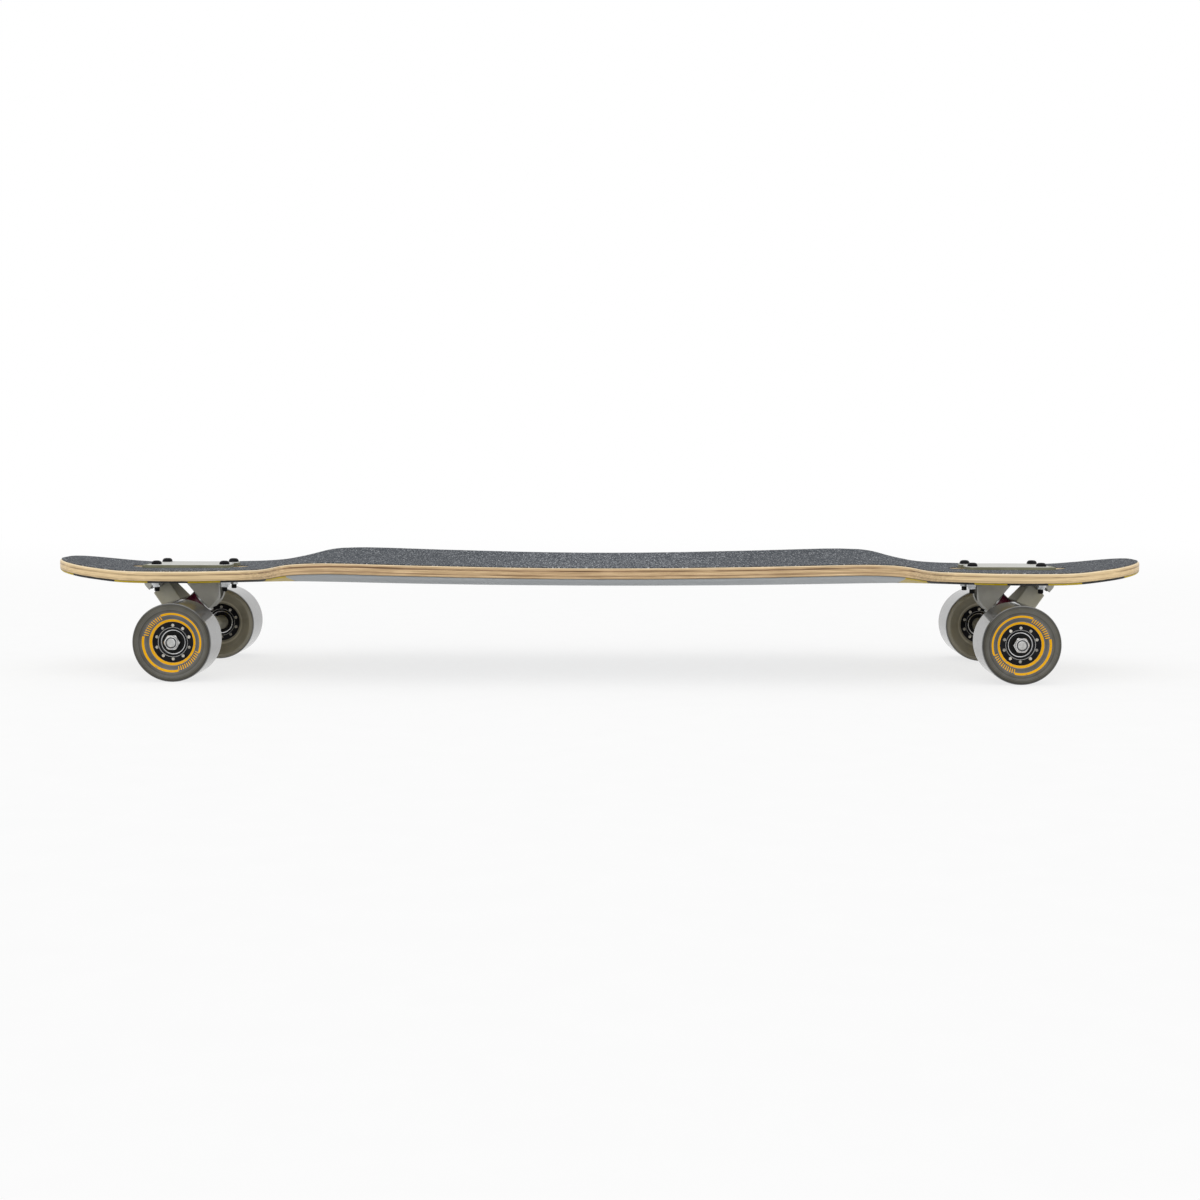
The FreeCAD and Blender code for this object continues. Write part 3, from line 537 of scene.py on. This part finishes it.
# Painted highlight: a pale ring on the core, as a glossy rounded edge catching light
CORE_RIM_HIGHLIGHT = (12.85 * MM, 13.35 * MM)
CORE_HIGHLIGHT_EDGE = 0.08 * MM
CORE_HIGHLIGHT_GREY = (0.36, 0.36, 0.35)
SHIELD_TONES = ((0.006, 0.006, 0.006), (0.016, 0.016, 0.016))
SHIELD_GROOVE = (7.6 * MM, 8.4 * MM)
SHIELD_GROOVE_EDGE = 0.2 * MM
SHIELD_GRAIN = 0.1


def make_soft(name, tones, rough, grain_scale, strength):
    shader = Shader(name)
    grain = shader.noise(grain_scale)
    color = shader.tones(shader.noise(scale=80.0, detail=2.0), *tones)
    shader.bump(grain, strength, distance=0.2 * MM)
    return shader.set(Base_Color=color, Roughness=shader.spread(grain, *rough))


def make_core():
    """Black core with a painted highlight: a pale ring around the bearing."""
    shader = Shader("core_plastic")
    grain = shader.noise(scale=900.0)
    color = shader.tones(shader.noise(scale=150.0, detail=2.0), *CORE_TONES)
    color = shader.mix(shader.band(shader.radius(), *CORE_RIM_HIGHLIGHT, CORE_HIGHLIGHT_EDGE), color, CORE_HIGHLIGHT_GREY)
    shader.bump(grain, strength=0.12, distance=0.2 * MM)
    return shader.set(Base_Color=color, Roughness=shader.spread(grain, 0.16, 0.3), Specular_IOR_Level=0.1)


def make_shield():
    shader = Shader("shield_rubber")
    grain = shader.noise(scale=1200.0)
    groove = shader.band(shader.radius(), *SHIELD_GROOVE, SHIELD_GROOVE_EDGE)
    shader.bump(shader.times_plus(grain, SHIELD_GRAIN, groove), strength=0.5, distance=0.3 * MM)
    return shader.set(Base_Color=shader.tones(grain, *SHIELD_TONES),
                      Roughness=shader.spread(grain, 0.35, 0.5), Specular_IOR_Level=0.06)


# Tyres: printed rings, with turns as shares of a full one

PRINTED_FACE = 111 * MM
PRINT_EDGE = 0.06 * MM
INNER_RING = (18.35 * MM, 20.5 * MM)
OUTER_RING = (24.55 * MM, 26.45 * MM)
TICK_RING = (21.8 * MM, 25.6 * MM)
TICKED_TURNS = ((0.035, 0.19), (-0.445, -0.285))
TICKED_EDGE = 0.002
TICK_COUNT = 72
TICK_SHARE = 0.42
PRINT_WEAR = (0.30, 0.36)
INK_ORANGE = (0.80, 0.40, 0.0)


def ring_print(shader, radius):
    """Mask of the printed rings: two plain ones, with ticks instead of the outer over two stretches."""
    out, up = shader.from_axle()
    turn = shader.over(shader.math("ARCTAN2", up, out), 2 * math.pi)
    ticked = shader.plus(*(shader.band(turn, *span, TICKED_EDGE) for span in TICKED_TURNS))
    inner = shader.band(radius, *INNER_RING, PRINT_EDGE)
    outer = shader.times(shader.band(radius, *OUTER_RING, PRINT_EDGE), shader.rest(ticked))
    comb = shader.math("LESS_THAN", shader.math("FRACT", shader.times(turn, TICK_COUNT)), TICK_SHARE)
    ticks = shader.times(shader.band(radius, *TICK_RING, PRINT_EDGE), comb)
    marks = shader.plus(shader.plus(inner, outer), shader.times(ticks, ticked))
    on_face = shader.math("GREATER_THAN", shader.across(), PRINTED_FACE)
    wear = shader.step(shader.noise(scale=420.0, rough=0.7), *PRINT_WEAR)
    return shader.times(shader.times(marks, on_face), wear)


# Tyres: urethane, with places on the outer face as shares from its start to the tread

FACE_START = 18 * MM
FACE_CHANGE = (95 * MM, 105 * MM)
RIPPLE_SCALE = 900.0
RIPPLE_SHARE = 0.6
CLOUD_SHARE = 0.4
SMOKE_SPAN = (0.36, 0.60)
CLEAR_FACE = [(0.14, (0.165, 0.170, 0.180)), (0.26, (0.105, 0.108, 0.108)),
              (0.40, (0.175, 0.180, 0.190)), (0.55, (0.125, 0.121, 0.106)),
              (0.63, (0.078, 0.074, 0.062)), (0.70, (0.122, 0.118, 0.104)),
              (0.86, (0.088, 0.083, 0.066)), (0.96, (0.030, 0.028, 0.022))]
HAZY_FACE = [(0.14, (0.085, 0.088, 0.092)), (0.26, (0.050, 0.051, 0.047)),
             (0.40, (0.085, 0.087, 0.090)), (0.55, (0.060, 0.057, 0.046)),
             (0.63, (0.032, 0.030, 0.022)), (0.70, (0.070, 0.066, 0.053)),
             (0.86, (0.050, 0.046, 0.033)), (0.96, (0.018, 0.016, 0.012))]
# Inner face tones: painted light, a lit copy of the urethane for the shaded inner faces
BACK_LIT_TONES = ((0.27, 0.25, 0.195), (0.41, 0.38, 0.30))
COLLAR = (19.8 * MM, 21.6 * MM)
COLLAR_EDGE = 0.5 * MM
COLLAR_SHARE = 0.75
COLLAR_PALE = (0.66, 0.61, 0.50)
TREAD_TONES = ((0.06, 0.06, 0.056), (0.135, 0.135, 0.13))
TREAD_START = (34.0 * MM, 34.5 * MM)
SCUFF_SPAN = (0.60, 0.68)
SCUFF_SHARE = 0.6
SCUFF_DARK = (0.05, 0.05, 0.046)
LIP_WIDTH = 1.2 * MM
LIP_EDGE = 0.5 * MM
# Painted shade: the tyre's faces darkened at the lip, next to the tread
LIP_SHADE_START = (33.4 * MM, 34.0 * MM)
LIP_SHADE_SHARE = 0.8
LIP_SHADE_DARK = (0.02, 0.019, 0.016)


def tyre_face(shader, radius, across):
    """Colour of the smoky outer face and the paler inner face; the inner face's paler tone is painted
    light, a lit copy of the same urethane.
    """
    ripple = shader.add("ShaderNodeCombineXYZ", X=shader.times(radius, RIPPLE_SCALE))
    turned = shader.noise(scale=1.0, rough=0.6, vector=ripple.outputs[0])
    cloud = shader.times(shader.noise(scale=55.0, detail=4.0), CLOUD_SHARE)
    smoke = shader.times_plus(turned, RIPPLE_SHARE, cloud)
    share = shader.step(radius, FACE_START, WHEEL_RADIUS, "LINEAR")
    hazy = shader.ramp(share, HAZY_FACE)
    front = shader.mix(shader.step(smoke, *SMOKE_SPAN), hazy, shader.ramp(share, CLEAR_FACE))
    collar = shader.times(shader.band(radius, *COLLAR, COLLAR_EDGE), COLLAR_SHARE)
    # painted light on the inner face
    lit_back = shader.mix(collar, shader.tones(smoke, *BACK_LIT_TONES), COLLAR_PALE)
    return shader.mix(shader.step(across, *FACE_CHANGE), lit_back, front)


def tyre_tread(shader, fine):
    scuff = shader.step(shader.streaks(scales=(140, 700, 140), detail=4.0, rough=0.7), *SCUFF_SPAN)
    return shader.mix(shader.times(scuff, SCUFF_SHARE), shader.tones(fine, *TREAD_TONES), SCUFF_DARK)


def make_tyre():
    shader = Shader("wheel_urethane")
    radius = shader.radius()
    across = shader.across()
    fine = shader.streaks(scales=(160, 1600, 160), detail=4.0, rough=0.65)
    between = shader.band(across, TYRE_INNER + LIP_WIDTH, TYRE_OUTER - LIP_WIDTH, LIP_EDGE)
    on_tread = shader.times(shader.step(radius, *TREAD_START), between)
    color = shader.mix(on_tread, tyre_face(shader, radius, across), tyre_tread(shader, fine))
    # painted shade at the lip
    lip_shade = shader.times(shader.step(radius, *LIP_SHADE_START), shader.rest(between))
    color = shader.mix(shader.times(lip_shade, LIP_SHADE_SHARE), color, LIP_SHADE_DARK)
    ink = ring_print(shader, radius)
    color = shader.mix(ink, color, INK_ORANGE)
    gloss = shader.times(shader.rest(ink), shader.spread(on_tread, 0.35, 0.9))
    shader.bump(shader.times(fine, on_tread), strength=0.12, distance=0.2 * MM)
    return shader.set(Base_Color=color, Roughness=shader.spread(on_tread, 0.16, 0.30),
                      Specular_IOR_Level=0.15, Coat_Weight=gloss, Coat_Roughness=0.05)


# Materials on the solids

def dress(material, *names):
    """Put a material on CAD nodes, by name."""
    for name in names:
        data = frame["nodes"][name].data
        data.materials.clear()
        data.materials.append(material)


def truck_names(*names):
    return [end + "_" + name for end in ENDS for name in names]


def wheel_names(*names):
    return [end + "_" + side + "_" + name for end in ENDS for side in SIDES for name in names]


zinc = make_steel("zinc_steel", ZINC_TONES, rough=(0.28, 0.43))
nut_zinc = make_steel("nut_zinc", NUT_ZINC_TONES, rough=(0.1, 0.25))
bright = make_steel("bearing_steel", BEARING_TONES, rough=(0.12, 0.27))
black = make_black_steel()
bushing_red = make_soft("bushing_urethane", BUSHING_TONES, rough=(0.18, 0.38), grain_scale=400,
                        strength=0.08)
cup_black = make_soft("cup_urethane", CUP_TONES, rough=(0.4, 0.6), grain_scale=500, strength=0.1)
nylon = make_soft("cage_nylon", NYLON_TONES, rough=(0.45, 0.65), grain_scale=900, strength=0.1)
# plugs painted pale as a glow of light through them
plug_glow = make_soft("plug_urethane_glow", PLUG_GLOW_TONES, rough=(0.15, 0.35), grain_scale=700, strength=0.1)

dress(make_ply(), "deck")
dress(make_grip(), "grip_tape")
dress(make_cast("cast_baseplate", BASEPLATE_TONES), *truck_names("baseplate"))
dress(make_cast("cast_hanger", HANGER_TONES), *truck_names("hanger"))
dress(zinc, *truck_names("kingpin", "kingpin_nut", "flat_washer", "cup_washer", "speed_washers",
                         "bearing_spacers"))
dress(nut_zinc, *truck_names("mounting_washers", "mounting_nuts"))
dress(make_axle(), *truck_names("axle"))
dress(make_lock_nut(), *truck_names("axle_nuts"))
dress(bright, *truck_names("bearing_inner_rings"), *wheel_names("bearing_balls"))
dress(make_race(), *wheel_names("bearing_outer_rings"))
dress(black, *truck_names("mounting_bolts"))
dress(bushing_red, *truck_names("board_bushing", "road_bushing"))
dress(cup_black, *truck_names("pivot_cup"))
dress(make_core(), *wheel_names("core"))
dress(make_shield(), *wheel_names("bearing_shields"))
dress(nylon, *wheel_names("bearing_cages"))
dress(make_tyre(), *wheel_names("tyre"))


# Mesh helpers

class Skin:
    """Points and faces of tubes that share one mesh."""

    def __init__(self):
        self.points = []
        self.faces = []

    def add(self, rings, closed=False):
        """Join each ring of points to the next, and the last to the first if closed."""
        base = len(self.points)
        total = len(rings)
        count = len(rings[0])
        for ring in rings:
            self.points += ring
        for row in range(total if closed else total - 1):
            here = base + row * count
            there = base + (row + 1) % total * count
            for index in range(count):
                following = (index + 1) % count
                self.faces.append((here + index, here + following, there + following, there + index))


def new_piece(name, skin, material):
    """Smooth mesh object in the row frame."""
    mesh = bpy.data.meshes.new(name)
    mesh.from_pydata(skin.points, [], skin.faces)
    mesh.polygons.foreach_set("use_smooth", [True] * len(skin.faces))
    mesh.materials.append(material)
    piece = bpy.data.objects.new(name, mesh)
    scene.collection.objects.link(piece)
    return piece


def spokes(axis, count):
    """Directions square to an axis, evenly spaced around it."""
    side = axis.orthogonal().normalized()
    other = axis.cross(side)
    turns = [2 * math.pi * index / count for index in range(count)]
    return [side * math.cos(turn) + other * math.sin(turn) for turn in turns]


def lathe(rows, origin, axis, count):
    """Rings of a surface of revolution from (radius, distance along the axis) rows."""
    directions = spokes(axis, count)
    return [[origin + axis * along + spoke * radius for spoke in directions] for radius, along in rows]


def steering_point(end, along, out):
    """Point on a truck's middle plane from distances along the steering axis and along the kingpin."""
    outward = along * math.cos(STEER_ANGLE) + out * math.sin(STEER_ANGLE)
    height = along * math.sin(STEER_ANGLE) - out * math.cos(STEER_ANGLE)
    return Vector((ENDS[end] * (HALF_BASE + outward), 0, AXLE_HEIGHT + height))


def kingpin_axis(end):
    return Vector((ENDS[end] * math.sin(STEER_ANGLE), 0, -math.cos(STEER_ANGLE)))


# Bushings: barrels between the baseplate and the hanger

BUSHING_RADIUS = 12 * MM
BUSHING_HOLE = 4.86 * MM
BUSHING_FLAT = 8 * MM
BUSHING_ROUND = 1.2 * MM
BUSHING_WAIST = 0.35 * MM
BUSHING_SIDES = 64
ROUND_STEPS = 6
WAIST_STEPS = 12
HOLE_STEPS = 4
BOARD_BUSHING = (-19.7 * MM, -5.5 * MM)
ROAD_BUSHING = (5.5 * MM, 19.7 * MM)


def bushing_rows(start, stop):
    """Rows of a barrel bushing's outline, waisted a little in the middle."""
    rows = [(BUSHING_HOLE, start), (BUSHING_FLAT, start)]
    for index in range(ROUND_STEPS + 1):
        turn = math.pi / 2 * index / ROUND_STEPS
        lean = BUSHING_ROUND * (1 - math.cos(turn))
        rows.append((BUSHING_RADIUS - BUSHING_ROUND + BUSHING_ROUND * math.sin(turn), start + lean))
    far_end = [(radius, start + stop - along) for radius, along in reversed(rows)]
    length = stop - start - 2 * BUSHING_ROUND
    for index in range(1, WAIST_STEPS):
        part = index / WAIST_STEPS
        waist = BUSHING_WAIST * math.sin(math.pi * part)
        rows.append((BUSHING_RADIUS - waist, start + BUSHING_ROUND + length * part))
    rows += far_end
    for index in range(HOLE_STEPS - 1, 0, -1):
        rows.append((BUSHING_HOLE, start + (stop - start) * index / HOLE_STEPS))
    return rows


def add_bushing(end, name, span):
    skin = Skin()
    origin = steering_point(end, KINGPIN_ALONG, 0)
    skin.add(lathe(bushing_rows(*span), origin, kingpin_axis(end), BUSHING_SIDES), closed=True)
    piece = new_piece(end + "_" + name + "_barrel", skin, bushing_red)
    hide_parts(end + "_" + name)
    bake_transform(piece)


for end in ENDS:
    add_bushing(end, "board_bushing", BOARD_BUSHING)
    add_bushing(end, "road_bushing", ROAD_BUSHING)


# Urethane plugs in the cores' holes

PLUG_RADIUS = 1.52 * MM
PLUG_CIRCLE = 15 * MM
PLUG_COUNT = 10
PLUG_DEPTH = 3 * MM
PLUG_SHOULDER = 0.5 * MM
PLUG_DOME = 0.4 * MM
PLUG_TIP_SHARE = 0.02
PLUG_SIDES = 20
DOME_STEPS = 5


def plug_rows():
    """Rows of a domed plug, along its hole from the core's face."""
    rows = [(PLUG_RADIUS, -PLUG_DEPTH), (PLUG_RADIUS, -PLUG_SHOULDER)]
    for index in range(1, DOME_STEPS + 1):
        turn = math.pi / 2 * index / DOME_STEPS
        radius = PLUG_RADIUS * max(math.cos(turn), PLUG_TIP_SHARE)
        rows.append((radius, -PLUG_SHOULDER + PLUG_DOME * math.sin(turn)))
    return rows


def add_plugs(end, side):
    skin = Skin()
    hub = Vector((ENDS[end] * HALF_BASE, 0, AXLE_HEIGHT))
    for face, way in ((CORE_OUTER, 1), (CORE_INNER, -1)):
        for index in range(PLUG_COUNT):
            turn = 2 * math.pi * index / PLUG_COUNT
            spot = Vector((math.sin(turn), 0, math.cos(turn))) * PLUG_CIRCLE
            spot.y = SIDES[side] * face
            skin.add(lathe(plug_rows(), hub + spot, Vector((0, SIDES[side] * way, 0)), PLUG_SIDES))
    piece = new_piece(end + "_" + side + "_plugs", skin, plug_glow)
    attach(piece, end + "_" + side + "_wheel")


for end in ENDS:
    for side in SIDES:
        add_plugs(end, side)


# Screw threads on the ends that stand out of the nuts

THREAD_SIDES = 36
THREAD_RISE = 0.14
ROWS_PER_TURN = 6
LEAST_ROWS = 8
BOLT_ALONG = (-26.95 * MM, 36.55 * MM)
BOLT_ACROSS = (-20.64 * MM, 20.64 * MM)
BOLT_RADIUS = 2.4 * MM
BOLT_PITCH = 0.8 * MM
BOLT_THREAD = (76.8 * MM, 74.0 * MM)
KINGPIN_RADIUS = 4.76 * MM
KINGPIN_PITCH = 0.9 * MM
KINGPIN_THREAD = (30.0 * MM, 30.7 * MM)
DOWN = Vector((0, 0, -1))


def thread(radius, span, pitch, origin, axis):
    """Rings of a helical thread along an axis, between two distances from the origin."""
    start, stop = span
    directions = spokes(axis, THREAD_SIDES)
    total = max(LEAST_ROWS, round((stop - start) / pitch * ROWS_PER_TURN))
    rings = []
    for row in range(total + 1):
        along = start + (stop - start) * row / total
        ring = []
        for index, spoke in enumerate(directions):
            phase = (along / pitch - index / THREAD_SIDES) % 1
            ridge = THREAD_RISE * pitch * (1 - abs(2 * phase - 1))
            ring.append(origin + axis * along + spoke * (radius + ridge))
        rings.append(ring)
    return rings


def add_bolt_threads(end):
    skin = Skin()
    span = [-height for height in BOLT_THREAD]
    for along in BOLT_ALONG:
        for across in BOLT_ACROSS:
            place = Vector((ENDS[end] * (HALF_BASE + along), across, 0))
            skin.add(thread(BOLT_RADIUS, span, BOLT_PITCH, place, DOWN))
    piece = new_piece(end + "_bolt_threads", skin, black)
    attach(piece, "board")


def add_kingpin_thread(end):
    skin = Skin()
    origin = steering_point(end, KINGPIN_ALONG, 0)
    skin.add(thread(KINGPIN_RADIUS, KINGPIN_THREAD, KINGPIN_PITCH, origin, kingpin_axis(end)))
    piece = new_piece(end + "_kingpin_thread", skin, zinc)
    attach(piece, "board")


for end in ENDS:
    add_bolt_threads(end)
    add_kingpin_thread(end)


# Stage, light and camera

WHITE = (1, 1, 1, 1)
FLOOR_HALF = 9.0
FLOOR_TONES = ((0.90, 0.90, 0.90), (0.93, 0.93, 0.93))
FLOOR_NEAR_WHITE = 0.75
FLOOR_FADE = (0.9, 3.0)
WORLD_STRENGTH = 0.65
CAMERA_PLACE = Vector((0.0313, -1.7642, 0.2039))
CAMERA_YAW = math.radians(-0.941)
CAMERA_PITCH = math.radians(4.507)
CAMERA_ROLL = math.radians(0.098)
CAMERA_LENS = 56.316
CAMERA_SENSOR = 36
CAMERA_CLIP = 0.01


def seen_ray(nodes):
    """1 on rays that show the stage, straight, mirrored or through glass. 0 on rays that only light."""
    path = nodes.add("ShaderNodeLightPath").outputs
    seen = nodes.math("MAXIMUM", path["Is Camera Ray"], path["Is Glossy Ray"])
    return nodes.math("MAXIMUM", seen, path["Is Transmission Ray"])


def floor_material():
    """White floor that keeps a shadow near the board and fades to pure white away from it."""
    shader = Shader("floor")
    color = shader.tones(shader.noise(scale=30.0, detail=2.0), *FLOOR_TONES)
    shader.set(Base_Color=color, Roughness=0.9, Specular_IOR_Level=0.0)
    white = shader.add("ShaderNodeEmission", Color=WHITE, Strength=1.0)
    away = shader.add("ShaderNodeVectorMath", {"operation": "LENGTH"}, Vector=shader.coords)
    fade = shader.spread(shader.step(away.outputs["Value"], *FLOOR_FADE), FLOOR_NEAR_WHITE, 1.0)
    shader.blend(shader.times(seen_ray(shader), fade), shader.bsdf, white, "Material Output")
    return shader.material


def add_floor():
    mesh = bpy.data.meshes.new("floor")
    corners = [(-FLOOR_HALF, -FLOOR_HALF, 0), (FLOOR_HALF, -FLOOR_HALF, 0),
               (FLOOR_HALF, FLOOR_HALF, 0), (-FLOOR_HALF, FLOOR_HALF, 0)]
    mesh.from_pydata(corners, [], [(0, 1, 2, 3)])
    mesh.materials.append(floor_material())
    floor = bpy.data.objects.new("floor", mesh)
    scene.collection.objects.link(floor)


def add_world():
    world = bpy.data.worlds.new("studio")
    nodes = Nodes(world)
    soft = nodes.tree.nodes["Background"]
    nodes.feed(soft.inputs["Color"], WHITE)
    nodes.feed(soft.inputs["Strength"], WORLD_STRENGTH)
    white = nodes.add("ShaderNodeBackground", Color=WHITE, Strength=1.0)
    nodes.blend(seen_ray(nodes), soft, white, "World Output")
    scene.world = world


def add_sun(name, energy, spread, aim, shine):
    """Soft sun light; one without shine lights surfaces but is not mirrored in them."""
    data = bpy.data.lights.new(name, "SUN")
    data.energy = energy
    data.angle = math.radians(spread)
    lamp = bpy.data.objects.new(name, data)
    lamp.rotation_euler = Vector(aim).to_track_quat("-Z", "Y").to_euler()
    lamp.visible_glossy = shine
    scene.collection.objects.link(lamp)


def add_camera():
    data = bpy.data.cameras.new("camera")
    data.sensor_width = CAMERA_SENSOR
    data.lens = CAMERA_LENS
    data.clip_start = CAMERA_CLIP
    camera = bpy.data.objects.new("camera", data)
    level = Vector((math.sin(CAMERA_YAW), math.cos(CAMERA_YAW), 0))
    ahead = level * math.cos(CAMERA_PITCH) - Vector((0, 0, math.sin(CAMERA_PITCH)))
    right = Vector((math.cos(CAMERA_YAW), -math.sin(CAMERA_YAW), 0))
    up = right.cross(ahead)
    tilt_right = right * math.cos(CAMERA_ROLL) + up * math.sin(CAMERA_ROLL)
    tilt_up = up * math.cos(CAMERA_ROLL) - right * math.sin(CAMERA_ROLL)
    turn = Matrix((tilt_right, tilt_up, -ahead)).transposed()
    camera.matrix_world = Matrix.Translation(CAMERA_PLACE) @ turn.to_4x4()
    scene.collection.objects.link(camera)
    scene.camera = camera


add_floor()
add_world()
add_sun("top", energy=0.9, spread=100, aim=(0.1, 0.35, -1.0), shine=True)
add_sun("front", energy=0.75, spread=25, aim=(0.0, 1.0, -0.12), shine=False)
add_camera()
scene.view_settings.view_transform = "Standard"
